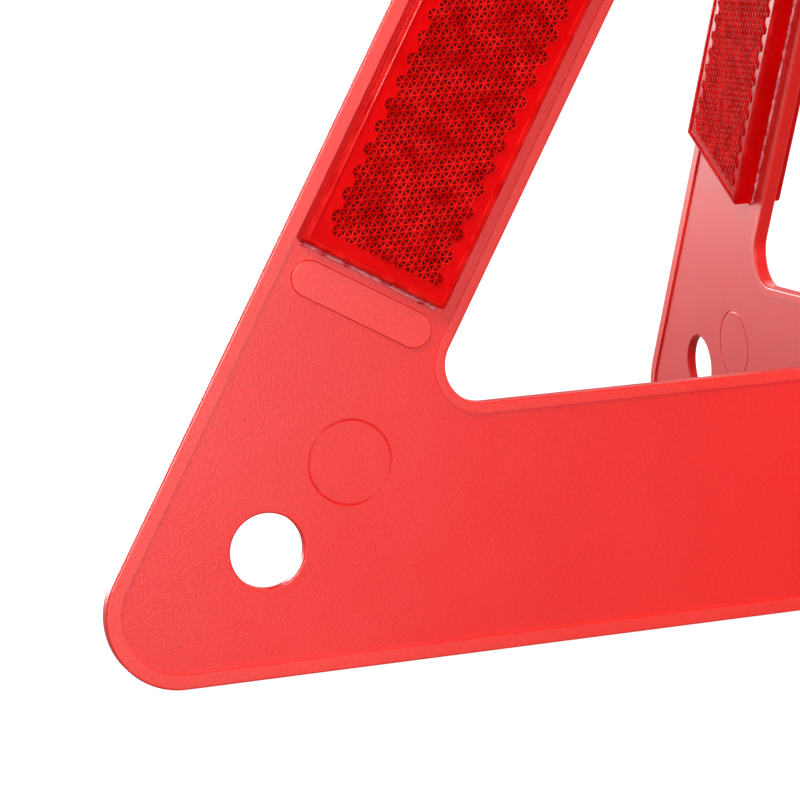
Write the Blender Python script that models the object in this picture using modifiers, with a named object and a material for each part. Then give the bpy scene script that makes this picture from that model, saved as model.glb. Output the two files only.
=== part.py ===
"""A warning triangle: two reflective plastic panels that stand on a floor, crossed at right angles.

Both panels are one equilateral outline with a triangular opening. The front panel has a slot down its
centre line, open at the top, and the cross panel has one in its bottom bar, open at the floor, so the
cross panel drops onto the front panel. Each arm carries a raised reflector on both faces: a prismatic
lens and, sealed inside it, a backing strip.

Metres, +Z up. The origin is on the floor, on the line where the panels cross. A panel is laid out in
its own frame: X along its bottom edge, -Y its front face, Z up.
"""

import math

import bmesh
import bpy
from mathutils import Matrix, Vector

# Panel outline
SIDE = 0.450  # outer side, between the sharp corners
CORNER_RADIUS = 0.0165  # outer corners
ARM_WIDTH = 0.045  # outer edge to opening, across an arm
BAR_HEIGHT = 0.055  # floor to opening, across the bottom bar
OPENING_RADIUS = 0.0084  # corners of the opening

# Panel section
PLATE_THICKNESS = 0.0026  # the recessed field
RIM_THICKNESS = 0.0036  # the lips round both edges
OUTER_LIP = 0.0032  # width of the lip along the outer edge
OPENING_LIP = 0.0024  # width of the lip along the opening
SLOT_LIP = 0.0024  # width of the full-thickness band beside a slot
EDGE_ROUNDING = 0.0005  # radius on the rim's outer edges

# Corner holes
HOLE_DIAMETER = 0.0172
HOLE_EDGE_DISTANCE = 0.0278  # hole centre to each of the two outer edges

# Slots where the panels cross
SLOT_CLEARANCE = 0.0003  # each side of the other panel
SLOT_END_CLEARANCE = 0.0006  # height between the two slot ends

# Reflectors
LENS_START = 0.1105  # sharp lower corner to the lens, along the outer edge
LENS_CROSS_CLEARANCE = 0.0034  # one panel's lens to the other panel's, at their nearest near the apex
LENS_HEIGHT = 0.0055  # above the recessed field
LENS_ROOF = 0.0020  # thickness under the lens's outer face
LENS_WALL = 0.0016
LENS_OUTER_GAP = 0.0003  # lens to the outer lip
LENS_INNER_GAP = 0.0039  # lens to the opening's lip
LENS_CORNER_RADIUS = 0.0012
LENS_EDGE_CHAMFER = 0.0007
BACKING_THICKNESS = 0.0012
CONTACT_GAP = 0.0003  # between pieces that rest on each other

# Raised pads below the front reflectors
PAD_WIDTH = 0.0080
PAD_RISE = 0.0008  # above the recessed field
PAD_SIDE_GAP = 0.0027  # pad to each lip
PAD_LENS_GAP = 0.0024  # pad to the lens's lower end

# Facets
CORNER_SEGMENTS = 10
OPENING_SEGMENTS = 7
PAD_SEGMENTS = 10
HOLE_SEGMENTS = 36
CUT_MARGIN = 0.002  # how far a cutter runs past what it cuts
PAD_ROOT = 0.0005  # how deep a pad's foot runs into the plate

# Values that follow from them
SIN60 = math.sin(math.radians(60))
COS60 = math.cos(math.radians(60))
SHARP_HEIGHT = SIDE * SIN60
SLOT_WIDTH = RIM_THICKNESS + 2 * SLOT_CLEARANCE
FRONT_SLOT_BOTTOM = BAR_HEIGHT / 2 - SLOT_END_CLEARANCE / 2
CROSS_SLOT_TOP = BAR_HEIGHT / 2 + SLOT_END_CLEARANCE / 2
CENTRE_BAND = SLOT_WIDTH + 2 * SLOT_LIP
LENS_WIDTH = ARM_WIDTH - OUTER_LIP - OPENING_LIP - LENS_OUTER_GAP - LENS_INNER_GAP
LENS_STANDOFF = PLATE_THICKNESS / 2 + LENS_HEIGHT  # middle of a panel to a lens's outer face
LENS_ACROSS = SIN60 * (OUTER_LIP + LENS_OUTER_GAP + LENS_WIDTH)
LENS_APEX_MARGIN = 2 * (LENS_STANDOFF + LENS_CROSS_CLEARANCE + LENS_ACROSS)  # along the outer edge
LENS_LENGTH = SIDE - LENS_START - LENS_APEX_MARGIN
PAD_LENGTH = ARM_WIDTH - OUTER_LIP - OPENING_LIP - 2 * PAD_SIDE_GAP

LEFT = -1
RIGHT = 1
FRONT = -1
REAR = 1
STAND_UP = (math.radians(90), 0.0, 0.0)  # turns a flat outline's XY plane to the panel's XZ plane


def clear_scene():
    """Remove every object and collection, so that the script starts from nothing."""
    for obj in list(bpy.data.objects):
        bpy.data.objects.remove(obj, do_unlink=True)
    for collection in list(bpy.data.collections):
        bpy.data.collections.remove(collection)


def new_collection(name):
    """Make a collection in the scene."""
    collection = bpy.data.collections.new(name)
    bpy.context.scene.collection.children.link(collection)
    return collection


def plastic(name, colour, roughness):
    """Make a plain plastic material."""
    material = bpy.data.materials.new(name)
    material.use_nodes = True
    shader = material.node_tree.nodes["Principled BSDF"]
    shader.inputs["Base Color"].default_value = (*colour, 1.0)
    shader.inputs["Roughness"].default_value = roughness
    shader.inputs["Metallic"].default_value = 0.0
    return material


def empty(name, collection, turn):
    """Make an empty at the origin, turned about Z, that a panel and its reflectors hang from."""
    frame = bpy.data.objects.new(name, None)
    frame.rotation_euler = (0.0, 0.0, turn)
    collection.objects.link(frame)
    return frame


def adopt(obj, frame):
    """Parent an object to a frame, keeping its own location and rotation as they are."""
    obj.parent = frame
    return obj


# Outlines


def inset_corners(arm_inset, bar_inset):
    """Corners of the triangle whose sides lie inside the outer edges by the given distances."""
    half_base = SIDE / 2 - (arm_inset + bar_inset * COS60) / SIN60
    apex = SHARP_HEIGHT - arm_inset / COS60
    return [Vector((-half_base, bar_inset)), Vector((half_base, bar_inset)), Vector((0.0, apex))]


def rounded(corners, radius, segments):
    """Round each corner of a convex outline with an arc of the given radius."""
    points = []
    for index, corner in enumerate(corners):
        before = (corners[index - 1] - corner).normalized()
        after = (corners[(index + 1) % len(corners)] - corner).normalized()
        half_angle = before.angle(after) / 2
        centre = corner + (before + after).normalized() * radius / math.sin(half_angle)
        first = corner + before * radius / math.tan(half_angle) - centre
        sweep = math.pi - 2 * half_angle
        for step in range(segments + 1):
            points.append(centre + Matrix.Rotation(sweep * step / segments, 2) @ first)
    return points


def stadium(length, width, segments):
    """A straight-sided outline with round ends, its length along Y."""
    reach = (length - width) / 2
    points = []
    for side in (RIGHT, LEFT):
        for step in range(segments + 1):
            angle = math.pi * step / segments
            offset = Vector((math.cos(angle), math.sin(angle))) * width / 2
            points.append(side * (Vector((0.0, reach)) + offset))
    return points


def flat_mesh(name, outlines, thickness):
    """Fill one outline, less any outlines inside it, and give it a thickness about its own plane."""
    curve = bpy.data.curves.new(name, "CURVE")
    curve.dimensions = "2D"
    curve.fill_mode = "BOTH"
    curve.extrude = thickness / 2
    for points in outlines:
        spline = curve.splines.new("POLY")
        spline.points.add(len(points) - 1)
        for target, point in zip(spline.points, points):
            target.co = (point.x, point.y, 0.0, 1.0)
        spline.use_cyclic_u = True
    source = bpy.data.objects.new(name, curve)
    bpy.context.scene.collection.objects.link(source)
    bpy.context.view_layer.update()
    evaluated = source.evaluated_get(bpy.context.evaluated_depsgraph_get())
    mesh = bpy.data.meshes.new_from_object(evaluated)
    bpy.data.objects.remove(source, do_unlink=True)
    bpy.data.curves.remove(curve)
    work = bmesh.new()
    work.from_mesh(mesh)
    bmesh.ops.remove_doubles(work, verts=work.verts, dist=1e-6)
    bmesh.ops.recalc_face_normals(work, faces=work.faces)
    work.to_mesh(mesh)
    work.free()
    mesh.name = name
    return mesh


def box_mesh(name, size):
    """A box about its own origin."""
    mesh = bpy.data.meshes.new(name)
    work = bmesh.new()
    bmesh.ops.create_cube(work, size=1.0)
    bmesh.ops.scale(work, vec=size, verts=work.verts)
    work.to_mesh(mesh)
    work.free()
    return mesh


def cylinder_mesh(name, diameter, depth):
    """A cylinder about its own origin, its axis along Z."""
    mesh = bpy.data.meshes.new(name)
    work = bmesh.new()
    bmesh.ops.create_cone(
        work,
        cap_ends=True,
        segments=HOLE_SEGMENTS,
        radius1=diameter / 2,
        radius2=diameter / 2,
        depth=depth,
    )
    work.to_mesh(mesh)
    work.free()
    return mesh


# Objects and modifiers


def add_object(name, mesh, collection, frame, location=(0.0, 0.0, 0.0), rotation=(0.0, 0.0, 0.0)):
    """Place a mesh in a panel's frame as a named object."""
    obj = bpy.data.objects.new(name, mesh)
    obj.location = location
    obj.rotation_euler = rotation
    collection.objects.link(obj)
    return adopt(obj, frame)


def add_cutter(name, mesh, cutters, frame, location=(0.0, 0.0, 0.0), rotation=(0.0, 0.0, 0.0)):
    """Place a mesh that only shapes other objects."""
    cutter = add_object(name, mesh, cutters, frame, location, rotation)
    cutter.hide_render = True
    cutter.display_type = "WIRE"
    return cutter


def boolean(obj, operand, operation="DIFFERENCE"):
    """Cut an object by another, or join another to it."""
    modifier = obj.modifiers.new(f"{operation.lower()} {operand.name}", "BOOLEAN")
    modifier.operation = operation
    modifier.solver = "MANIFOLD"
    modifier.object = operand


def bevel(obj, width, segments, angle=60):
    """Round the edges sharper than an angle, in degrees."""
    modifier = obj.modifiers.new("rounding", "BEVEL")
    modifier.width = width
    modifier.segments = segments
    modifier.limit_method = "ANGLE"
    modifier.angle_limit = math.radians(angle)
    modifier.use_clamp_overlap = False  # so that the rounding is the full width all the way round


def shade(obj, angle=30):
    """Shade an object's curved faces smooth and keep its corners sharp."""
    obj.data.shade_smooth()
    obj.data.set_sharp_from_angle(angle=math.radians(angle))


# Places in a panel


def on_arm(arm, along, across):
    """A point on an arm, from its sharp lower corner: along the outer edge, and in across the arm."""
    x = -SIDE / 2 + along * COS60 + across * SIN60
    z = along * SIN60 - across * COS60
    return Vector((-arm * x, 0.0, z))


def arm_rotation(arm, face):
    """Turn a piece so that its X lies along an arm and its Z points out of a face."""
    along = Vector((-arm * COS60, 0.0, SIN60))
    outward = Vector((0.0, face, 0.0))
    across = outward.cross(along)
    return Matrix((along, across, outward)).transposed().to_euler()


def hole_centres():
    """Centres of the two corner holes, on the bisectors of the lower corners."""
    across = HOLE_EDGE_DISTANCE / math.tan(math.radians(30))
    return [Vector((side * (SIDE / 2 - across), 0.0, HOLE_EDGE_DISTANCE)) for side in (LEFT, RIGHT)]


# The panels


def recess_cutter(name, cutters, frame, face):
    """The field that lies below the lips on one face, less the band left beside the slots."""
    depth = (RIM_THICKNESS - PLATE_THICKNESS) / 2
    outer = rounded(inset_corners(OUTER_LIP, OUTER_LIP), CORNER_RADIUS - OUTER_LIP, CORNER_SEGMENTS)
    inner = rounded(
        inset_corners(ARM_WIDTH - OPENING_LIP, BAR_HEIGHT - OPENING_LIP),
        OPENING_RADIUS + OPENING_LIP,
        OPENING_SEGMENTS,
    )
    mesh = flat_mesh(name, [outer, inner], depth + CUT_MARGIN)
    middle = face * (PLATE_THICKNESS / 2 + (depth + CUT_MARGIN) / 2)
    cutter = add_cutter(name, mesh, cutters, frame, (0.0, middle, 0.0), STAND_UP)
    band_size = (CENTRE_BAND, depth + 3 * CUT_MARGIN, SHARP_HEIGHT)
    band = add_cutter(
        f"{name}_band",
        box_mesh(f"{name}_band", band_size),
        cutters,
        frame,
        (0.0, middle, SHARP_HEIGHT / 2),
    )
    boolean(cutter, band)
    return cutter


def slot_cutter(name, cutters, frame, bottom, top):
    """The slot on a panel's centre line, between two heights."""
    mesh = box_mesh(name, (SLOT_WIDTH, RIM_THICKNESS + 2 * CUT_MARGIN, top - bottom))
    return add_cutter(name, mesh, cutters, frame, (0.0, 0.0, (bottom + top) / 2))


def pad(name, cutters, frame, arm):
    """The raised pad across an arm, just below its front lens, with its foot in the plate."""
    rise = PAD_ROOT + PAD_RISE
    mesh = flat_mesh(name, [stadium(PAD_LENGTH, PAD_WIDTH, PAD_SEGMENTS)], rise)
    centre = on_arm(
        arm,
        LENS_START - PAD_LENS_GAP - PAD_WIDTH / 2,
        OUTER_LIP + PAD_SIDE_GAP + PAD_LENGTH / 2,
    )
    centre.y = FRONT * (PLATE_THICKNESS / 2 - PAD_ROOT + rise / 2)
    return add_cutter(name, mesh, cutters, frame, centre, arm_rotation(arm, FRONT))


def panel(name, parts, cutters, frame, slot_bottom, slot_top, material):
    """One panel: a rounded triangle with lips, an opening, corner holes, pads and its slot."""
    outer = rounded(inset_corners(0.0, 0.0), CORNER_RADIUS, CORNER_SEGMENTS)
    opening = rounded(inset_corners(ARM_WIDTH, BAR_HEIGHT), OPENING_RADIUS, OPENING_SEGMENTS)
    mesh = flat_mesh(name, [outer, opening], RIM_THICKNESS)
    obj = add_object(name, mesh, parts, frame, rotation=STAND_UP)
    bevel(obj, EDGE_ROUNDING, 2)
    for face, word in ((FRONT, "front"), (REAR, "rear")):
        boolean(obj, recess_cutter(f"{name}_{word}_recess", cutters, frame, face))
    for index, centre in enumerate(hole_centres()):
        hole = cylinder_mesh(f"{name}_hole_{index}", HOLE_DIAMETER, RIM_THICKNESS + 2 * CUT_MARGIN)
        boolean(obj, add_cutter(f"{name}_hole_{index}", hole, cutters, frame, centre, STAND_UP))
    for arm, word in ((LEFT, "left"), (RIGHT, "right")):
        boolean(obj, pad(f"{name}_{word}_pad", cutters, frame, arm), "UNION")
    boolean(obj, slot_cutter(f"{name}_slot", cutters, frame, slot_bottom, slot_top))
    obj.data.materials.append(material)
    shade(obj)
    return obj


# The reflectors


def reflector_place(arm, face, centre_height):
    """Centre of a piece of a reflector that lies a given height above the recessed field."""
    centre = on_arm(arm, LENS_START + LENS_LENGTH / 2, OUTER_LIP + LENS_OUTER_GAP + LENS_WIDTH / 2)
    centre.y = face * (PLATE_THICKNESS / 2 + centre_height)
    return centre


def block_with_round_corners(name, length, width, height, radius):
    """A block whose upright edges are rounded."""
    half = Vector((length / 2, width / 2))
    corners = [Vector((x * half.x, y * half.y)) for x, y in ((-1, -1), (1, -1), (1, 1), (-1, 1))]
    return flat_mesh(name, [rounded(corners, radius, 3)], height)


def lens(name, parts, cutters, frame, arm, face, material):
    """The lens: a shallow tray, open towards the panel, that stands on the recessed field."""
    height = LENS_HEIGHT - CONTACT_GAP
    turn = arm_rotation(arm, face)
    mesh = block_with_round_corners(name, LENS_LENGTH, LENS_WIDTH, height, LENS_CORNER_RADIUS)
    place = reflector_place(arm, face, CONTACT_GAP + height / 2)
    obj = add_object(name, mesh, parts, frame, place, turn)
    bevel(obj, LENS_EDGE_CHAMFER, 1)
    hollow = height - LENS_ROOF + CUT_MARGIN
    size = (LENS_LENGTH - 2 * LENS_WALL, LENS_WIDTH - 2 * LENS_WALL, hollow)
    cavity_place = reflector_place(arm, face, LENS_HEIGHT - LENS_ROOF - hollow / 2)
    cavity_name = f"{name}_cavity"
    cavity_mesh = box_mesh(cavity_name, size)
    cavity = add_cutter(cavity_name, cavity_mesh, cutters, frame, cavity_place, turn)
    boolean(obj, cavity)
    obj.data.materials.append(material)
    shade(obj)
    return obj


def backing(name, parts, frame, arm, face, material):
    """The strip that closes the lens's open side, flush with its foot."""
    length = LENS_LENGTH - 2 * LENS_WALL - 2 * CONTACT_GAP
    width = LENS_WIDTH - 2 * LENS_WALL - 2 * CONTACT_GAP
    mesh = box_mesh(name, (length, width, BACKING_THICKNESS))
    place = reflector_place(arm, face, CONTACT_GAP + BACKING_THICKNESS / 2)
    obj = add_object(name, mesh, parts, frame, place, arm_rotation(arm, face))
    obj.data.materials.append(material)
    return obj


def build():
    """Build both panels and their reflectors."""
    clear_scene()
    parts = new_collection("warning_triangle")
    cutters = new_collection("cutters")
    panel_plastic = plastic("panel_plastic", (0.86, 0.065, 0.045), 0.45)
    lens_plastic = plastic("lens_plastic", (0.55, 0.006, 0.006), 0.08)
    backing_plastic = plastic("backing_plastic", (0.10, 0.005, 0.005), 0.5)
    past_top = SHARP_HEIGHT + CUT_MARGIN
    panels = (
        ("front_panel", "front", 0.0, FRONT_SLOT_BOTTOM, past_top),
        ("cross_panel", "cross", math.radians(90), -CUT_MARGIN, CROSS_SLOT_TOP),
    )
    for name, prefix, turn, slot_bottom, slot_top in panels:
        frame = empty(f"{prefix}_frame", parts, turn)
        panel(name, parts, cutters, frame, slot_bottom, slot_top, panel_plastic)
        for face, face_word in ((FRONT, "front"), (REAR, "rear")):
            for arm, arm_word in ((LEFT, "left"), (RIGHT, "right")):
                place = f"{prefix}_panel_{face_word}_{arm_word}"
                lens(f"{place}_lens", parts, cutters, frame, arm, face, lens_plastic)
                backing(f"{place}_backing", parts, frame, arm, face, backing_plastic)


build()
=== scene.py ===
"""The looks of a warning triangle: two crossed panels of orange-red plastic with prismatic reflectors.

Every piece is modelled in its panel's own frame (X along the bottom edge, -Y the front face, Z up) and
then turned into place, so that each finished object sits at the origin with its place in its mesh.
"""

import logging
import math
from collections.abc import Callable
from dataclasses import dataclass
from enum import Enum
from functools import cache

import bpy
from mathutils import Matrix, Vector


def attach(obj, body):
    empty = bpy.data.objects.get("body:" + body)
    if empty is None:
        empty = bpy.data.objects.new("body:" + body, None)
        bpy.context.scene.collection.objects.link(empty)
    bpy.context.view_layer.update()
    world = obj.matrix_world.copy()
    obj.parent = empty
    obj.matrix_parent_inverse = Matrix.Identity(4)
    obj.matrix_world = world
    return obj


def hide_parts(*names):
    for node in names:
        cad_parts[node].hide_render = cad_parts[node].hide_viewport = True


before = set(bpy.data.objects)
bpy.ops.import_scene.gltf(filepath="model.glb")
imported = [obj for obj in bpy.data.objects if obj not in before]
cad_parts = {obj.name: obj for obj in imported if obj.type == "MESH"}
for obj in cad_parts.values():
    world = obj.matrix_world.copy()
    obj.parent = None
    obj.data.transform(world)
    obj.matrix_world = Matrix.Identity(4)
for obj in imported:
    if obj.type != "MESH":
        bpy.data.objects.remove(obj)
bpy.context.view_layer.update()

LOG = logging.getLogger("warning_triangle")
MM = 0.001
SIN60 = math.sin(math.radians(60))
COS60 = math.cos(math.radians(60))

SLACK = 0.01 * MM
MERGE_DISTANCE = 0.001 * MM
FLAT_ANGLE = math.radians(0.5)
RIM_ANGLE = math.radians(60)
SMOOTH_ANGLE = math.radians(35)

# How closely a face's normal follows Z for the face to count as level.
LEVEL = 0.9

# How many sides a full circle has at the outer corners, at the opening and the holes, and on the pads.
OUTER_SIDES = 96
INNER_SIDES = 72
PAD_SIDES = 48


class Face(Enum):
    """A side of a panel: the word in its pieces' names, and the direction it faces along Y."""

    FRONT = ("front", -1)
    REAR = ("rear", 1)

    @property
    def word(self) -> str:
        """The word in the pieces' names."""
        return self.value[0]

    @property
    def sign(self) -> int:
        """The direction the side faces along Y."""
        return self.value[1]


class Arm(Enum):
    """A sloping arm of a panel: the word in its pieces' names, and its side along X."""

    LEFT = ("left", -1)
    RIGHT = ("right", 1)

    @property
    def word(self) -> str:
        """The word in the pieces' names."""
        return self.value[0]

    @property
    def sign(self) -> int:
        """The side of the panel along X."""
        return self.value[1]


class Stand(Enum):
    """One of the two panels: the word in its names, which is also its body, and its turn about Z."""

    FRONT = ("front", 0.0)
    CROSS = ("cross", math.radians(90))

    @property
    def body(self) -> str:
        """The body that the panel's pieces ride on."""
        return self.value[0]

    @property
    def turn(self) -> float:
        """The panel's turn about the vertical, in radians."""
        return self.value[1]


# Hand tools


def select_only(*objects: bpy.types.Object) -> None:
    """Select these objects alone and make the first one active.

    Args:
        objects: The objects to select.
    """
    bpy.ops.object.select_all(action="DESELECT")
    for obj in objects:
        obj.select_set(True)
    bpy.context.view_layer.objects.active = objects[0]


def added(name: str) -> bpy.types.Object:
    """Name the object that an operator has just added.

    Args:
        name: The name for the object and its mesh.

    Returns:
        The object.
    """
    obj = bpy.context.active_object
    obj.name = name
    obj.data.name = name
    return obj


def edit(obj: bpy.types.Object, work: Callable[[], None]) -> None:
    """Do some work in an object's edit mode, with all of its mesh selected.

    Args:
        obj: The object to work on.
        work: Called in edit mode.
    """
    select_only(obj)
    bpy.ops.object.mode_set(mode="EDIT")
    bpy.ops.mesh.select_mode(type="FACE")
    bpy.ops.mesh.select_all(action="SELECT")
    work()
    bpy.ops.object.mode_set(mode="OBJECT")


def pick(obj: bpy.types.Object, test: Callable[[bpy.types.MeshPolygon], bool]) -> None:
    """Select the faces that pass a test. Called in edit mode.

    Args:
        obj: The object in edit mode.
        test: Says whether a face is selected.
    """
    bpy.ops.mesh.select_mode(type="FACE")
    bpy.ops.mesh.select_all(action="DESELECT")
    bpy.ops.object.mode_set(mode="OBJECT")
    for polygon in obj.data.polygons:
        polygon.select = test(polygon)
    bpy.ops.object.mode_set(mode="EDIT")


def pick_edges(obj: bpy.types.Object, test: Callable[[Vector, Vector], bool]) -> None:
    """Select the edges whose two ends pass a test. Called in edit mode.

    Args:
        obj: The object in edit mode.
        test: Says whether an edge between two points is selected.
    """
    bpy.ops.mesh.select_mode(type="EDGE")
    bpy.ops.mesh.select_all(action="DESELECT")
    bpy.ops.object.mode_set(mode="OBJECT")
    points = obj.data.vertices
    for edge in obj.data.edges:
        edge.select = test(points[edge.vertices[0]].co, points[edge.vertices[1]].co)
    bpy.ops.object.mode_set(mode="EDIT")


def apply_modifier(obj: bpy.types.Object, kind: str, **settings: object) -> None:
    """Add a modifier and apply it.

    Args:
        obj: The object.
        kind: The modifier's type.
        settings: Values for its properties.
    """
    select_only(obj)
    modifier = obj.modifiers.new(kind.lower(), kind)
    for name, value in settings.items():
        setattr(modifier, name, value)
    bpy.ops.object.modifier_apply(modifier=modifier.name)


def combine(obj: bpy.types.Object, tool: bpy.types.Object, operation: str = "DIFFERENCE") -> None:
    """Cut an object by a tool, or join the tool to it, and throw the tool away.

    Args:
        obj: The object that is kept.
        tool: The object that shapes it.
        operation: DIFFERENCE or UNION.
    """
    apply_modifier(obj, "BOOLEAN", operation=operation, solver="MANIFOLD", object=tool)
    bpy.data.objects.remove(tool, do_unlink=True)


def settle(obj: bpy.types.Object, matrix: Matrix) -> None:
    """Turn and move an object, and put its place in its mesh.

    Args:
        obj: The object, which ends at the origin, unturned and unscaled.
        matrix: Where it goes.
    """
    obj.matrix_world = matrix @ obj.matrix_world
    select_only(obj)
    bpy.ops.object.transform_apply(location=True, rotation=True, scale=True)


def clean_caps() -> None:
    """Merge the flat faces that belong together. Called in edit mode."""
    bpy.ops.mesh.select_all(action="SELECT")
    bpy.ops.mesh.remove_doubles(threshold=MERGE_DISTANCE)
    bpy.ops.mesh.dissolve_limited(angle_limit=FLAT_ANGLE)


def hull_of_discs(
    name: str, centres: list[tuple[float, float]], radius: float, low: float, high: float, sides: int
) -> bpy.types.Object:
    """Stretch a skin round upright discs of one radius, which rounds every corner of the outline.

    Args:
        name: The name for the object.
        centres: Where the discs stand in XY.
        radius: The radius of each disc.
        low: The Z of the lower faces.
        high: The Z of the upper faces.
        sides: How many sides each disc has.

    Returns:
        The closed block.
    """
    discs = []
    for x, y in centres:
        bpy.ops.object.select_all(action="DESELECT")
        bpy.ops.mesh.primitive_cylinder_add(
            vertices=sides, radius=radius, depth=high - low, location=(x, y, (low + high) / 2)
        )
        discs.append(added(name))
    select_only(*discs)
    bpy.ops.object.join()
    obj = bpy.context.active_object
    bpy.ops.object.transform_apply(location=True, rotation=True, scale=True)

    def work() -> None:
        """Skin the discs and merge the flat faces."""
        bpy.ops.mesh.convex_hull()
        clean_caps()

    edit(obj, work)
    return obj


def block(
    name: str, size: tuple[float, float, float], centre: tuple[float, float, float]
) -> bpy.types.Object:
    """Add a box with its place in its mesh.

    Args:
        name: The name for the object.
        size: Its length along X, Y and Z.
        centre: Its middle.

    Returns:
        The box.
    """
    bpy.ops.object.select_all(action="DESELECT")
    bpy.ops.mesh.primitive_cube_add(size=1.0, location=centre, scale=size)
    obj = added(name)
    bpy.ops.object.transform_apply(location=True, rotation=True, scale=True)
    return obj


# Finishes


class Nodes:
    """A short way to build a material's nodes."""

    def __init__(self, name: str) -> None:
        """Start a material with a Principled shader.

        Args:
            name: The material's name.
        """
        self.material = bpy.data.materials.new(name)
        self.material.use_nodes = True
        self.tree = self.material.node_tree
        self.shader = self.tree.nodes["Principled BSDF"]
        self.place = self.tree.nodes.new("ShaderNodeTexCoord").outputs["Object"]

    def set(self, **values: object) -> None:
        """Set the shader's own sockets.

        Args:
            values: Socket names, with underscores for spaces, and their values.
        """
        for name, value in values.items():
            self.shader.inputs[name.replace("_", " ")].default_value = value

    def stretched(self, scale: tuple[float, float, float], turn: float = 0.0) -> bpy.types.NodeSocket:
        """Object coordinates, scaled and turned about Y.

        Args:
            scale: The scale along each axis.
            turn: The turn about Y, in radians.

        Returns:
            The mapped coordinates.
        """
        mapping = self.tree.nodes.new("ShaderNodeMapping")
        mapping.inputs["Scale"].default_value = scale
        mapping.inputs["Rotation"].default_value = (0.0, turn, 0.0)
        self.tree.links.new(self.place, mapping.inputs["Vector"])
        return mapping.outputs["Vector"]

    def noise(
        self, scale: float, detail: float = 2.0, place: bpy.types.NodeSocket | None = None
    ) -> bpy.types.NodeSocket:
        """A noise pattern.

        Args:
            scale: Its scale, in patterns a metre.
            detail: How many finer layers it has.
            place: The coordinates, or None for plain Object coordinates.

        Returns:
            The pattern's value.
        """
        node = self.tree.nodes.new("ShaderNodeTexNoise")
        node.inputs["Scale"].default_value = scale
        node.inputs["Detail"].default_value = detail
        self.tree.links.new(place or self.place, node.inputs["Vector"])
        return node.outputs["Fac"]

    def ramp(
        self,
        source: bpy.types.NodeSocket,
        stops: list[tuple[float, tuple[float, float, float]]],
    ) -> bpy.types.NodeSocket:
        """Colours along a value.

        Args:
            source: The value.
            stops: Places from 0 to 1 and their colours.

        Returns:
            The colour.
        """
        node = self.tree.nodes.new("ShaderNodeValToRGB")
        ramp = node.color_ramp
        while len(ramp.elements) < len(stops):
            ramp.elements.new(0.5)
        for element, (position, colour) in zip(ramp.elements, stops):
            element.position = position
            element.color = (*colour, 1.0)
        self.tree.links.new(source, node.inputs["Fac"])
        return node.outputs["Color"]

    def join(self, output: bpy.types.NodeSocket, socket: str) -> None:
        """Link an output to one of the shader's sockets.

        Args:
            output: What feeds the socket.
            socket: The socket's name.
        """
        self.tree.links.new(output, self.shader.inputs[socket])

    def mix(
        self, share: bpy.types.NodeSocket, first: bpy.types.NodeSocket, second: tuple[float, float, float]
    ) -> bpy.types.NodeSocket:
        """Mix a pattern towards one colour.

        Args:
            share: How much of the second colour shows.
            first: The pattern.
            second: The colour.

        Returns:
            The mixed colour.
        """
        node = self.tree.nodes.new("ShaderNodeMix")
        node.data_type = "RGBA"
        self.tree.links.new(share, node.inputs["Factor"])
        self.tree.links.new(first, node.inputs["A"])
        node.inputs["B"].default_value = (*second, 1.0)
        return node.outputs["Result"]

    def bump(self, heights: list[tuple[bpy.types.NodeSocket, float]]) -> None:
        """Add fine relief to the surface.

        Args:
            heights: Patterns and the depth of each, in metres.
        """
        normal = None
        for source, depth in heights:
            node = self.tree.nodes.new("ShaderNodeBump")
            node.inputs["Strength"].default_value = 1.0
            node.inputs["Distance"].default_value = depth
            self.tree.links.new(source, node.inputs["Height"])
            if normal is not None:
                self.tree.links.new(normal, node.inputs["Normal"])
            normal = node.outputs["Normal"]
        self.join(normal, "Normal")


@dataclass(frozen=True)
class MouldedPlastic:
    """Satin, slightly translucent orange-red plastic with a fine grain and faint scuffs."""

    name: str
    deep: tuple[float, float, float]
    light: tuple[float, float, float]
    roughness: float = 0.34
    flow_scale: float = 7.0
    speck_scale: float = 1500.0
    speck_lift: float = 0.012
    scuff_stretch: tuple[float, float, float] = (55.0, 55.0, 520.0)
    scuff_turn: float = 0.7
    matt_scale: float = 60.0
    grain_scale: float = 1700.0
    grain_depth: float = 0.000028
    scuff_depth: float = 0.00002

    @cache
    def make(self) -> bpy.types.Material:
        """Build the material.

        Returns:
            The material.
        """
        nodes = Nodes(self.name)
        nodes.set(Specular_IOR_Level=0.8, Subsurface_Weight=0.12, Subsurface_Scale=0.004)
        nodes.set(Subsurface_Radius=(1.0, 0.35, 0.2))
        flow = nodes.ramp(nodes.noise(self.flow_scale, 3.0), [(0.30, self.deep), (0.70, self.light)])
        specks = nodes.noise(self.speck_scale, 4.0)
        speck = nodes.ramp(specks, [(0.45, (0, 0, 0)), (0.72, (0.34, 0.34, 0.34))])
        pale = tuple(min(1.0, c * 1.25 + self.speck_lift) for c in self.light)
        coloured = nodes.mix(speck, flow, pale)
        scuffs = nodes.noise(1.0, 5.0, nodes.stretched(self.scuff_stretch, self.scuff_turn))
        scratches = nodes.ramp(scuffs, [(0.66, (0, 0, 0)), (0.72, (0.22, 0.22, 0.22))])
        nodes.join(nodes.mix(scratches, coloured, self.light), "Base Color")
        matt = nodes.ramp(
            nodes.noise(self.matt_scale, 4.0),
            [(0.3, (self.roughness - 0.01,) * 3), (0.7, (self.roughness + 0.02,) * 3)],
        )
        nodes.join(matt, "Roughness")
        nodes.bump([(nodes.noise(self.grain_scale, 3.0), self.grain_depth), (scratches, self.scuff_depth)])
        return nodes.material


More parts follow.
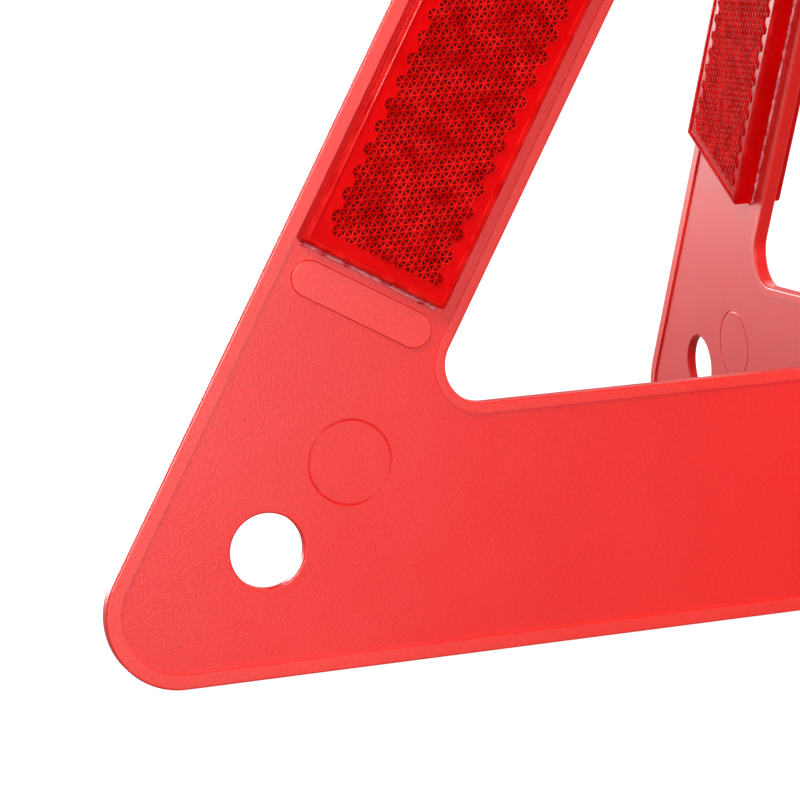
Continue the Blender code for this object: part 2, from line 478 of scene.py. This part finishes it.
@dataclass(frozen=True)
class ClearPlastic:
    """Glossy red acrylic, with a hard polished coat and faint flow marks."""

    name: str
    deep: tuple[float, float, float]
    light: tuple[float, float, float]
    roughness: float = 0.16
    pattern_scale: float = 60.0
    ripple_scale: float = 140.0
    ripple_depth: float = 0.00004
    specular: float = 0.12
    coat: float = 0.04

    @cache
    def make(self) -> bpy.types.Material:
        """Build the material.

        Returns:
            The material.
        """
        nodes = Nodes(self.name)
        nodes.set(Roughness=self.roughness, Specular_IOR_Level=self.specular, IOR=1.49)
        nodes.set(Coat_Weight=self.coat, Coat_Roughness=0.06)
        tone = nodes.ramp(nodes.noise(self.pattern_scale, 3.0), [(0.32, self.deep), (0.68, self.light)])
        nodes.join(tone, "Base Color")
        nodes.bump([(nodes.noise(self.ripple_scale, 2.0), self.ripple_depth)])
        return nodes.material


PANEL = MouldedPlastic("panel_orange_red", deep=(0.76, 0.006, 0.004), light=(0.86, 0.014, 0.010))
# A lighter copy of the panel plastic for the raised lips and pads: painted highlight along the rims.
RIM_HIGHLIGHT = MouldedPlastic("panel_rim_painted_highlight", (0.80, 0.016, 0.010), (0.92, 0.034, 0.024), roughness=0.36)
LENS = ClearPlastic("lens_frame_red", deep=(0.60, 0.0, 0.001), light=(0.74, 0.001, 0.002))
# A lighter copy of the lens red on the prism ribs and the frame's slopes: painted highlight.
RIB_HIGHLIGHT = ClearPlastic("prism_rib_painted_highlight", (0.56, 0.001, 0.001), (0.86, 0.014, 0.012), pattern_scale=260.0, coat=0.0)
# Near-black red in the sunk triangles of the prism cells: painted shade in the pits.
PIT_SHADE = ClearPlastic(
    "prism_pit_painted_shade",
    deep=(0.060, 0.0, 0.0),
    light=(0.230, 0.0, 0.001),
    roughness=0.45,
    pattern_scale=420.0,
    specular=0.03,
    coat=0.0,
)
BACKING = MouldedPlastic("backing_dark_red", (0.09, 0.004, 0.004), (0.14, 0.008, 0.008), roughness=0.55)
# Red plastic of the squeezed-out bead, with a pale whitish-pink base: painted highlight for its glints.
BEAD_GLINT = ClearPlastic("weld_bead_painted_glint", (0.66, 0.02, 0.03), (0.98, 0.40, 0.42), pattern_scale=420.0, coat=0.5)


# The panels


@dataclass
class Panel:
    """A rounded triangular panel with lips, an opening, corner holes, pads, marks and its slot."""

    stand: Stand
    side: float = 450 * MM
    corner_radius: float = 16.5 * MM
    arm_width: float = 45 * MM
    bar_height: float = 55 * MM
    opening_radius: float = 8.4 * MM
    plate: float = 2.6 * MM
    rim: float = 3.6 * MM
    outer_lip: float = 3.2 * MM
    opening_lip: float = 2.4 * MM
    rim_rounding: float = 0.5 * MM
    lip_margin: float = 0.12 * MM
    hole_throat: float = 16.4 * MM
    hole_rounding: float = 0.4 * MM
    hole_edge_distance: float = 27.8 * MM
    slot_width: float = 4.2 * MM
    slot_gap: float = 0.6 * MM
    band_lip: float = 2.4 * MM
    pad_length: float = 34 * MM
    pad_width: float = 8 * MM
    pad_rise: float = 0.8 * MM
    pad_rounding: float = 0.3 * MM
    pad_side_gap: float = 2.7 * MM
    pad_lens_gap: float = 2.4 * MM
    lens_start: float = 110.5 * MM
    mark_radius: float = 9.2 * MM
    mark_line: float = 0.24 * MM
    left_mark: tuple[float, float] = (67.5 * MM, 45 * MM)
    right_mark: tuple[float, float] = (72.9 * MM, 36.4 * MM)
    overrun: float = 2 * MM

    def disc_centres(self, arm_inset: float, bar_inset: float) -> list[tuple[float, float]]:
        """Corners of the triangle whose sides lie inside the outer edges by the given distances.

        Args:
            arm_inset: Distance in from each sloping edge.
            bar_inset: Distance up from the bottom edge.

        Returns:
            The three corners, in X and height.
        """
        half = self.side / 2 - (arm_inset + bar_inset * COS60) / SIN60
        apex = self.side * SIN60 - arm_inset / COS60
        return [(-half, bar_inset), (half, bar_inset), (0.0, apex)]

    def outline(
        self,
        name: str,
        insets: tuple[float, float],
        radius: float,
        low: float,
        high: float,
        sides: int = OUTER_SIDES,
    ) -> bpy.types.Object:
        """A rounded triangular block, in the XY plane.

        Args:
            name: The name for the object.
            insets: Distances in from the sloping edges and up from the bottom edge.
            radius: The radius of its corners.
            low: Its lower Z.
            high: Its upper Z.
            sides: How many sides a full circle would have.

        Returns:
            The block.
        """
        centres = self.disc_centres(insets[0] + radius, insets[1] + radius)
        return hull_of_discs(name, centres, radius, low, high, sides)

    def on_arm(self, arm: Arm, along: float, across: float) -> Vector:
        """A point on an arm, from its sharp lower corner.

        Args:
            arm: Which arm.
            along: Distance along the outer edge.
            across: Distance in from the outer edge.

        Returns:
            The point, in X and height.
        """
        x = -self.side / 2 + along * COS60 + across * SIN60
        return Vector((-arm.sign * x, along * SIN60 - across * COS60))

    def ring(self) -> bpy.types.Object:
        """The outer triangle less its opening, with both rims rounded.

        Returns:
            The ring, in the XY plane.
        """
        half = self.rim / 2
        reach = half + self.overrun
        obj = self.outline(f"{self.stand.body}_panel_look", (0.0, 0.0), self.corner_radius, -half, half)
        opening = self.outline(
            "opening", (self.arm_width, self.bar_height), self.opening_radius, -reach, reach, INNER_SIDES
        )
        combine(obj, opening)

        def work() -> None:
            """Round the edges of both rims."""
            clean_caps()
            bpy.ops.mesh.select_all(action="DESELECT")
            bpy.ops.mesh.select_mode(type="EDGE")
            bpy.ops.mesh.edges_select_sharp(sharpness=RIM_ANGLE)
            bpy.ops.mesh.bevel(offset=self.rim_rounding, segments=3, clamp_overlap=False)

        edit(obj, work)
        return obj

    def sink_field(self, obj: bpy.types.Object, face: Face) -> None:
        """Lower the field between the lips on one face, leaving the band beside the slot.

        Args:
            obj: The panel.
            face: Which face.
        """
        near = self.plate / 2
        far = self.rim / 2 + self.overrun
        low, high = (near, far) if face is Face.FRONT else (-far, -near)
        lip = self.outer_lip
        field = self.outline("field", (lip, lip), self.corner_radius - lip, low, high)
        keep = self.outline(
            "keep",
            (self.arm_width - self.opening_lip, self.bar_height - self.opening_lip),
            self.opening_radius + self.opening_lip,
            low - self.overrun,
            high + self.overrun,
            INNER_SIDES,
        )
        combine(field, keep)
        width = self.slot_width + 2 * self.band_lip
        height = self.side * SIN60
        band = block(
            "band", (width, height, 4 * self.overrun + self.rim), (0.0, height / 2, (low + high) / 2)
        )
        combine(field, band)
        combine(obj, field)

    def drill(self, obj: bpy.types.Object) -> None:
        """Make the two corner holes and round their rims.

        Args:
            obj: The panel.
        """
        across = self.hole_edge_distance / math.tan(math.radians(30))
        radius = self.hole_throat / 2
        reach = self.rim + 2 * self.overrun
        centres = [Vector((s * (self.side / 2 - across), self.hole_edge_distance)) for s in (-1, 1)]
        for centre in centres:
            bpy.ops.object.select_all(action="DESELECT")
            bpy.ops.mesh.primitive_cylinder_add(
                vertices=INNER_SIDES, radius=radius, depth=reach, location=(centre.x, centre.y, 0.0)
            )
            drill = added("drill")
            bpy.ops.object.transform_apply(location=True, rotation=True, scale=True)
            combine(obj, drill)

        def on_rim(a: Vector, b: Vector) -> bool:
            """Whether an edge runs round a hole's rim.

            Args:
                a: One end.
                b: The other end.

            Returns:
                True if it does.
            """
            flat = abs(a.z - b.z) < SLACK
            return flat and any(
                all(abs((p.xy - c).length - radius) < 2 * SLACK for p in (a, b)) for c in centres
            )

        def work() -> None:
            """Round the rims."""
            clean_caps()
            pick_edges(obj, on_rim)
            bpy.ops.mesh.bevel(offset=self.hole_rounding, segments=4, clamp_overlap=False)

        edit(obj, work)

    def raise_pads(self, obj: bpy.types.Object) -> None:
        """Raise the two pads on the front face.

        Args:
            obj: The panel.
        """
        radius = self.pad_width / 2
        along = self.lens_start - self.pad_lens_gap - radius
        near = self.outer_lip + self.pad_side_gap + radius
        top = self.plate / 2 + self.pad_rise
        for arm in Arm:
            ends = [self.on_arm(arm, along, a) for a in (near, near + self.pad_length - 2 * radius)]
            pad = hull_of_discs("pad", [tuple(e) for e in ends], radius, 0.0, top, PAD_SIDES)

            def work(pad: bpy.types.Object = pad) -> None:
                """Soften the pad's top edge."""
                pick_edges(pad, lambda a, b: min(a.z, b.z) > top - SLACK)
                bpy.ops.mesh.bevel(offset=self.pad_rounding, segments=3, clamp_overlap=False)

            edit(pad, work)
            combine(obj, pad, "UNION")

    def mark(self, obj: bpy.types.Object) -> None:
        """Press the round marks of the mould into both faces.

        Args:
            obj: The panel.
        """
        left = (-self.side / 2 + self.left_mark[0], self.left_mark[1])
        right = (self.side / 2 - self.right_mark[0], self.right_mark[1])
        for x, y in (left, right):
            for face in Face:
                bpy.ops.object.select_all(action="DESELECT")
                bpy.ops.mesh.primitive_torus_add(
                    location=(x, y, -face.sign * self.plate / 2),
                    major_radius=self.mark_radius,
                    minor_radius=self.mark_line,
                    major_segments=INNER_SIDES,
                    minor_segments=8,
                )
                groove = added("mark")
                bpy.ops.object.transform_apply(location=True, rotation=True, scale=True)
                combine(obj, groove)

    def cut_slot(self, obj: bpy.types.Object) -> None:
        """Cut the slot that takes the other panel.

        Args:
            obj: The panel.
        """
        middle = self.bar_height / 2
        if self.stand is Stand.FRONT:
            low, high = middle - self.slot_gap / 2, self.side * SIN60
        else:
            low, high = -self.overrun, middle + self.slot_gap / 2
        size = (self.slot_width, high - low, self.rim + 2 * self.overrun)
        combine(obj, block("slot", size, (0.0, (low + high) / 2, 0.0)))

    def dress(self, obj: bpy.types.Object) -> None:
        """Give the lips and pads a lighter copy of the panel plastic, a painted highlight, and shade the
        panel.

        Args:
            obj: The panel.
        """
        obj.data.materials.clear()
        obj.data.materials.append(PANEL.make())
        obj.data.materials.append(RIM_HIGHLIGHT.make())
        edge = self.plate / 2 + self.lip_margin

        def work() -> None:
            """Put the lighter copy, a painted highlight, on what stands above the fields."""
            pick(obj, lambda p: abs(p.center.y) > edge)
            # The raised lips and pads get the lighter copy: painted highlight.
            obj.active_material_index = 1
            bpy.ops.object.material_slot_assign()

        edit(obj, work)
        select_only(obj)
        bpy.ops.object.shade_smooth_by_angle(angle=SMOOTH_ANGLE)
        apply_modifier(obj, "WEIGHTED_NORMAL", keep_sharp=True)

    def build(self) -> bpy.types.Object:
        """Model the panel and put it in place.

        Returns:
            The panel.
        """
        obj = self.ring()
        for face in Face:
            self.sink_field(obj, face)
        self.drill(obj)
        self.raise_pads(obj)
        self.mark(obj)
        self.cut_slot(obj)
        settle(obj, Matrix.Rotation(math.radians(90), 4, "X"))
        self.dress(obj)
        settle(obj, Matrix.Rotation(self.stand.turn, 4, "Z"))
        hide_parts(f"{self.stand.body}_panel")
        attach(obj, self.stand.body)
        LOG.info("%s: %d faces", obj.name, len(obj.data.polygons))
        return obj


# The reflectors


@dataclass
class Reflector:
    """A prismatic lens: a tray with a sloping frame and a sunk field of six-sided prism cells."""

    panel: Panel
    height: float = 5.5 * MM
    foot: float = 0.05 * MM
    roof: float = 2.0 * MM
    wall: float = 1.6 * MM
    outer_gap: float = 0.3 * MM
    inner_gap: float = 3.9 * MM
    cross_clearance: float = 3.4 * MM
    corner_radius: float = 0.7 * MM
    slope_width: float = 0.9 * MM
    slope_drop: float = 0.25 * MM
    slope_tilt: tuple[float, float] = (0.2, 0.98)
    edge_rounding: float = 0.3 * MM
    pocket_margin: float = 0.35 * MM
    pocket_depth: float = 0.45 * MM
    cell_pitch: float = 3.0 * MM
    cell_height: float = 0.36 * MM
    cell_fit: float = 0.995
    rib_half_width: float = 0.20 * MM
    pit_depth: float = 0.28 * MM
    end_margin: float = 3.5 * MM
    cells_across: int = 9
    bead_sides: int = 8
    bead_radius: float = 0.36 * MM
    bead_step: float = 0.7 * MM
    bead_unevenness: float = 0.26 * MM
    bead_uniformity: float = 0.3
    bead_edge_length: float = 75 * MM
    seed: int = 11

    @property
    def width(self) -> float:
        """The lens's width across the arm."""
        panel = self.panel
        return panel.arm_width - panel.outer_lip - panel.opening_lip - self.outer_gap - self.inner_gap

    @property
    def length(self) -> float:
        """The lens's length, which keeps it clear of the other panel's lens near the apex."""
        panel = self.panel
        standoff = panel.plate / 2 + self.height
        across = SIN60 * (panel.outer_lip + self.outer_gap + self.width)
        margin = 2 * (standoff + self.cross_clearance + across)
        return panel.side - panel.lens_start - margin

    def tray(self) -> bpy.types.Object:
        """The body of the lens, about its own middle, its outer face up.

        Returns:
            The tray.
        """
        shoulder = self.height - self.slope_drop
        obj = block(
            "lens", (self.length, self.width, shoulder - self.foot), (0.0, 0.0, (shoulder + self.foot) / 2)
        )

        def outer_edge(a: Vector, b: Vector) -> bool:
            """Whether an edge is an upright corner or runs round the shoulder.

            Args:
                a: One end.
                b: The other end.

            Returns:
                True if it does.
            """
            reach = Vector((self.length / 2, self.width / 2))
            outside = all(abs(p.x) > reach.x - SLACK or abs(p.y) > reach.y - SLACK for p in (a, b))
            return outside and max(a.z, b.z) > shoulder - SLACK

        def shape() -> None:
            """Slope the frame, sink the pocket, hollow the underside, then round the outer edges."""
            pick(obj, lambda p: p.normal.z > LEVEL)
            bpy.ops.mesh.inset(thickness=self.slope_width, depth=self.slope_drop)
            bpy.ops.mesh.inset(thickness=self.pocket_margin, depth=0.0)
            bpy.ops.mesh.inset(thickness=self.edge_rounding, depth=-self.pocket_depth)
            pick(obj, lambda p: p.normal.z < -LEVEL)
            bpy.ops.mesh.inset(thickness=self.wall, depth=0.0)
            depth = self.height - self.roof - self.foot
            bpy.ops.mesh.extrude_region_move(TRANSFORM_OT_translate={"value": (0.0, 0.0, depth)})
            pick_edges(obj, outer_edge)
            bpy.ops.mesh.bevel(offset=self.corner_radius, segments=4, clamp_overlap=True)

        edit(obj, shape)
        return obj

    def cell(self) -> bpy.types.Object:
        """One prism cell: a low six-sided block with six sunk triangles round a raised star.

        Returns:
            The cell, about its own middle, on the pocket's floor.
        """
        floor = self.height - self.pocket_depth
        radius = self.cell_pitch / (2 * SIN60)
        bpy.ops.object.select_all(action="DESELECT")
        bpy.ops.mesh.primitive_cylinder_add(
            vertices=6,
            radius=radius * self.cell_fit,
            depth=self.cell_height,
            end_fill_type="TRIFAN",
            location=(0.0, 0.0, floor + self.cell_height / 2),
            rotation=(0.0, 0.0, math.radians(30)),
        )
        obj = added("cell")
        bpy.ops.object.transform_apply(location=True, rotation=True, scale=True)
        for finish in (LENS, RIB_HIGHLIGHT, PIT_SHADE):
            obj.data.materials.append(finish.make())

        def work() -> None:
            """Open the underside, then sink a triangle in each sector."""
            pick(obj, lambda p: p.normal.z < -LEVEL)
            bpy.ops.mesh.delete(type="FACE")
            bpy.ops.mesh.select_all(action="SELECT")
            # The ribs and sides of the cell get the lighter red: painted highlight.
            obj.active_material_index = 1
            bpy.ops.object.material_slot_assign()
            pick(obj, lambda p: p.normal.z > LEVEL)
            bpy.ops.mesh.inset(thickness=self.rib_half_width, depth=-self.pit_depth, use_individual=True)
            # The sunk triangles get the dark red: painted shade.
            obj.active_material_index = 2
            bpy.ops.object.material_slot_assign()

        edit(obj, work)
        return obj

    def field(self) -> bpy.types.Object:
        """The whole field of cells: every other row half a cell along, which makes its jagged border.

        Returns:
            The field, about the lens's middle.
        """
        pitch = self.cell_pitch
        row = pitch * SIN60
        pairs = int((self.length - 2 * self.end_margin) / (2 * row))
        rows = []
        for shift in (0.0, pitch / 2):
            cell = self.cell()
            place = Matrix.Translation((row if shift else 0.0, shift, 0.0))
            apply_modifier(
                cell,
                "ARRAY",
                count=self.cells_across,
                use_relative_offset=False,
                use_constant_offset=True,
                constant_offset_displace=(0.0, pitch, 0.0),
            )
            settle(cell, place)
            rows.append(cell)
        select_only(*rows)
        bpy.ops.object.join()
        obj = bpy.context.active_object
        apply_modifier(
            obj,
            "ARRAY",
            count=pairs,
            use_relative_offset=False,
            use_constant_offset=True,
            constant_offset_displace=(2 * row, 0.0, 0.0),
        )
        reach = (2 * pairs - 1) * row
        breadth = (self.cells_across - 0.5) * pitch
        settle(obj, Matrix.Translation((-reach / 2, -breadth / 2, 0.0)))
        return obj

    def pattern(self) -> bpy.types.Object:
        """The finished lens about its own middle, for copying.

        Returns:
            The lens.
        """
        field = self.field()
        tray = self.tray()
        for material in field.data.materials:
            tray.data.materials.append(material)

        def line() -> None:
            """Give the slopes round the frame the lighter rib red, a painted highlight line."""
            steepest, flattest = self.slope_tilt
            lowest = self.height - 2 * self.pocket_depth
            pick(tray, lambda p: steepest < p.normal.z < flattest and p.center.z > lowest)
            tray.active_material_index = 1
            bpy.ops.object.material_slot_assign()

        edit(tray, line)
        select_only(tray, field)
        bpy.ops.object.join()
        obj = bpy.context.active_object
        bpy.ops.object.shade_smooth_by_angle(angle=SMOOTH_ANGLE)
        return obj

    def bead_run(self, length: float, seed: int) -> bpy.types.Object:
        """An uneven bead of squeezed-out plastic along X, from the origin.

        Args:
            length: How long it is.
            seed: Chooses its unevenness.

        Returns:
            The bead.
        """
        bpy.ops.object.select_all(action="DESELECT")
        bpy.ops.mesh.primitive_circle_add(
            vertices=self.bead_sides,
            radius=self.bead_radius,
            fill_type="NGON",
            rotation=(0.0, math.radians(90), 0.0),
        )
        obj = added("bead")
        bpy.ops.object.transform_apply(location=True, rotation=True, scale=True)

        def work() -> None:
            """Draw the bead out step by step, then make it uneven."""
            step = {"value": (self.bead_step, 0.0, 0.0)}
            for _ in range(int(length / self.bead_step)):
                bpy.ops.mesh.extrude_region_move(TRANSFORM_OT_translate=step)
            bpy.ops.mesh.select_all(action="SELECT")
            bpy.ops.transform.vertex_random(
                offset=self.bead_unevenness, uniform=self.bead_uniformity, seed=seed
            )
            bpy.ops.mesh.normals_make_consistent(inside=False)

        edit(obj, work)
        return obj

    def bead(self, inner_sign: int) -> bpy.types.Object:
        """The squeezed-out bead at the lens's lower end and up its inner edge.

        Args:
            inner_sign: Which way along Y the opening lies.

        Returns:
            The bead, about the lens's middle.
        """
        end = self.bead_run(self.width - 2 * self.corner_radius, self.seed)
        edge = self.bead_run(self.bead_edge_length, self.seed + 1)
        low = -self.length / 2
        half = self.width / 2
        settle(
            end,
            Matrix.Translation((low - self.bead_radius, -half + self.corner_radius, self.bead_radius))
            @ Matrix.Rotation(math.radians(90), 4, "Z"),
        )
        side = inner_sign * (half + self.bead_radius)
        settle(edge, Matrix.Translation((low + self.corner_radius, side, self.bead_radius)))
        select_only(end, edge)
        bpy.ops.object.join()
        obj = bpy.context.active_object
        bpy.ops.object.shade_smooth()
        # The bead's pale pink colour is painted highlight.
        obj.data.materials.append(BEAD_GLINT.make())
        return obj

    def place(self, arm: Arm, face: Face) -> Matrix:
        """Where a lens goes in its panel's frame.

        Args:
            arm: Which arm.
            face: Which face.

        Returns:
            The place of its middle, with X up the arm and Z out of the face.
        """
        panel = self.panel
        centre = panel.on_arm(
            arm,
            panel.lens_start + self.length / 2,
            panel.outer_lip + self.outer_gap + self.width / 2,
        )
        along = Vector((-arm.sign * COS60, 0.0, SIN60))
        outward = Vector((0.0, face.sign, 0.0))
        across = outward.cross(along)
        turn = Matrix((along, across, outward)).transposed().to_4x4()
        return Matrix.Translation((centre.x, face.sign * panel.plate / 2, centre.y)) @ turn

    def inner_side(self, arm: Arm, face: Face) -> int:
        """Which way along a lens's own Y the opening lies.

        Args:
            arm: Which arm.
            face: Which face.

        Returns:
            1 or -1.
        """
        across = self.place(arm, face).to_3x3().col[1]
        inward = Vector((-arm.sign * SIN60, 0.0, -COS60))
        return 1 if across.dot(inward) > 0 else -1

    def build(self, pattern: bpy.types.Object) -> None:
        """Put a lens and its bead on both arms and both faces of the panel.

        Args:
            pattern: The finished lens to copy.
        """
        stand = self.panel.stand
        upright = Matrix.Rotation(stand.turn, 4, "Z")
        for face in Face:
            for arm in Arm:
                place = upright @ self.place(arm, face)
                name = f"{stand.body}_panel_{face.word}_{arm.word}_lens"
                lens = pattern.copy()
                lens.data = pattern.data.copy()
                lens.name = f"{name}_look"
                bpy.context.scene.collection.objects.link(lens)
                settle(lens, place)
                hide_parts(name)
                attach(lens, stand.body)
                bead = self.bead(self.inner_side(arm, face))
                bead.name = f"{name}_bead"
                settle(bead, place)
                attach(bead, stand.body)
                LOG.info("%s: %d faces", lens.name, len(lens.data.polygons))


# The studio


@dataclass(frozen=True)
class Lamp:
    """A square soft light: its name, its place, the length of its side and its power in watts."""

    name: str
    place: tuple[float, float, float]
    size: float
    power: float


LAMPS = (
    Lamp("sheen", (-0.23, -1.40, 0.13), 0.20, 11.0),
    Lamp("key", (-1.00, -0.95, 1.25), 1.0, 21.0),
    Lamp("back", (-0.75, 1.60, 0.50), 1.0, 26.0),
    Lamp("far", (1.2, 1.6, 1.6), 1.6, 16.0),
    Lamp("side", (1.8, 0.15, 1.1), 1.4, 26.0),
)


@dataclass
class Studio:
    """A pale floor, soft lights all round, and the camera."""

    eye: tuple[float, float, float] = (-0.352, -0.657, 0.170)
    yaw: float = math.radians(17.47)
    pitch: float = math.radians(9.31)
    roll: float = math.radians(-3.05)
    focal_length: float = 146.5
    sensor_width: float = 36.0
    nearest: float = 0.01
    aim: tuple[float, float, float] = (0.0, 0.0, 0.15)
    floor_size: float = 12.0
    floor_drop: float = 0.4 * MM
    floor_grey: float = 0.14
    sky_light: float = 0.10
    sky_seen: float = 1.05
    floor_light: float = 0.04
    floor_seen: float = 1.0

    def seen_or_cast(self, tree: bpy.types.NodeTree, cast: float, seen: float) -> bpy.types.NodeSocket:
        """Choose between the light a surface casts and the brightness the camera sees.

        Args:
            tree: The surface's node tree.
            cast: The light it casts on the object.
            seen: The brightness the camera sees.

        Returns:
            The socket that gives one or the other.
        """
        path = tree.nodes.new("ShaderNodeLightPath")
        level = tree.nodes.new("ShaderNodeMapRange")
        level.inputs["To Min"].default_value = cast
        level.inputs["To Max"].default_value = seen
        tree.links.new(path.outputs["Is Camera Ray"], level.inputs["Value"])
        return level.outputs["Result"]

    def floor(self) -> None:
        """Lay the floor."""
        bpy.ops.object.select_all(action="DESELECT")
        bpy.ops.mesh.primitive_plane_add(size=self.floor_size, location=(0.0, 0.0, -self.floor_drop))
        obj = added("studio_floor")
        nodes = Nodes("studio_white")
        grey = self.floor_grey
        nodes.set(Base_Color=(grey, grey, grey, 1.0), Roughness=0.9)
        nodes.set(Emission_Color=(1.0, 1.0, 1.0, 1.0))
        glow = self.seen_or_cast(nodes.tree, self.floor_light, self.floor_seen)
        nodes.join(glow, "Emission Strength")
        obj.data.materials.append(nodes.material)

    def light(self, lamp: Lamp) -> None:
        """Hang a lamp that looks at the object.

        Args:
            lamp: The lamp.
        """
        data = bpy.data.lights.new(lamp.name, "AREA")
        data.shape = "SQUARE"
        data.size = lamp.size
        data.energy = lamp.power
        obj = bpy.data.objects.new(lamp.name, data)
        obj.location = lamp.place
        aim = Vector(self.aim) - Vector(lamp.place)
        obj.rotation_euler = aim.to_track_quat("-Z", "Y").to_euler()
        bpy.context.scene.collection.objects.link(obj)

    def camera(self) -> None:
        """Set up the camera."""
        data = bpy.data.cameras.new("camera")
        data.lens = self.focal_length
        data.sensor_width = self.sensor_width
        data.clip_start = self.nearest
        obj = bpy.data.objects.new("camera", data)
        forward = Vector(
            (
                math.sin(self.yaw) * math.cos(self.pitch),
                math.cos(self.yaw) * math.cos(self.pitch),
                -math.sin(self.pitch),
            )
        )
        level = Vector((math.cos(self.yaw), -math.sin(self.yaw), 0.0))
        up = level.cross(forward)
        right = math.cos(self.roll) * level + math.sin(self.roll) * up
        top = -math.sin(self.roll) * level + math.cos(self.roll) * up
        axes = Matrix((right, top, -forward)).transposed().to_4x4()
        obj.matrix_world = Matrix.Translation(self.eye) @ axes
        bpy.context.scene.collection.objects.link(obj)
        bpy.context.scene.camera = obj

    def build(self) -> None:
        """Set up the whole studio."""
        self.floor()
        for lamp in LAMPS:
            self.light(lamp)
        self.camera()
        scene = bpy.context.scene
        world = bpy.data.worlds.new("studio")
        world.use_nodes = True
        background = world.node_tree.nodes["Background"]
        background.inputs["Color"].default_value = (1.0, 1.0, 1.0, 1.0)
        strength = self.seen_or_cast(world.node_tree, self.sky_light, self.sky_seen)
        world.node_tree.links.new(strength, background.inputs["Strength"])
        scene.world = world
        scene.view_settings.view_transform = "Standard"


def dress_backings() -> None:
    """Give the sealed backing strips their own dark plastic."""
    material = BACKING.make()
    for name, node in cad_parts.items():
        if name.endswith("_backing"):
            node.data.materials.clear()
            node.data.materials.append(material)


def main() -> None:
    """Build the panels, their reflectors and the studio."""
    logging.basicConfig(level=logging.INFO, format="%(message)s")
    panels = [Panel(stand) for stand in Stand]
    for panel in panels:
        panel.build()
    pattern = Reflector(panels[0]).pattern()
    for panel in panels:
        Reflector(panel).build(pattern)
    bpy.data.objects.remove(pattern, do_unlink=True)
    dress_backings()
    Studio().build()


if __name__ == "__main__":
    main()
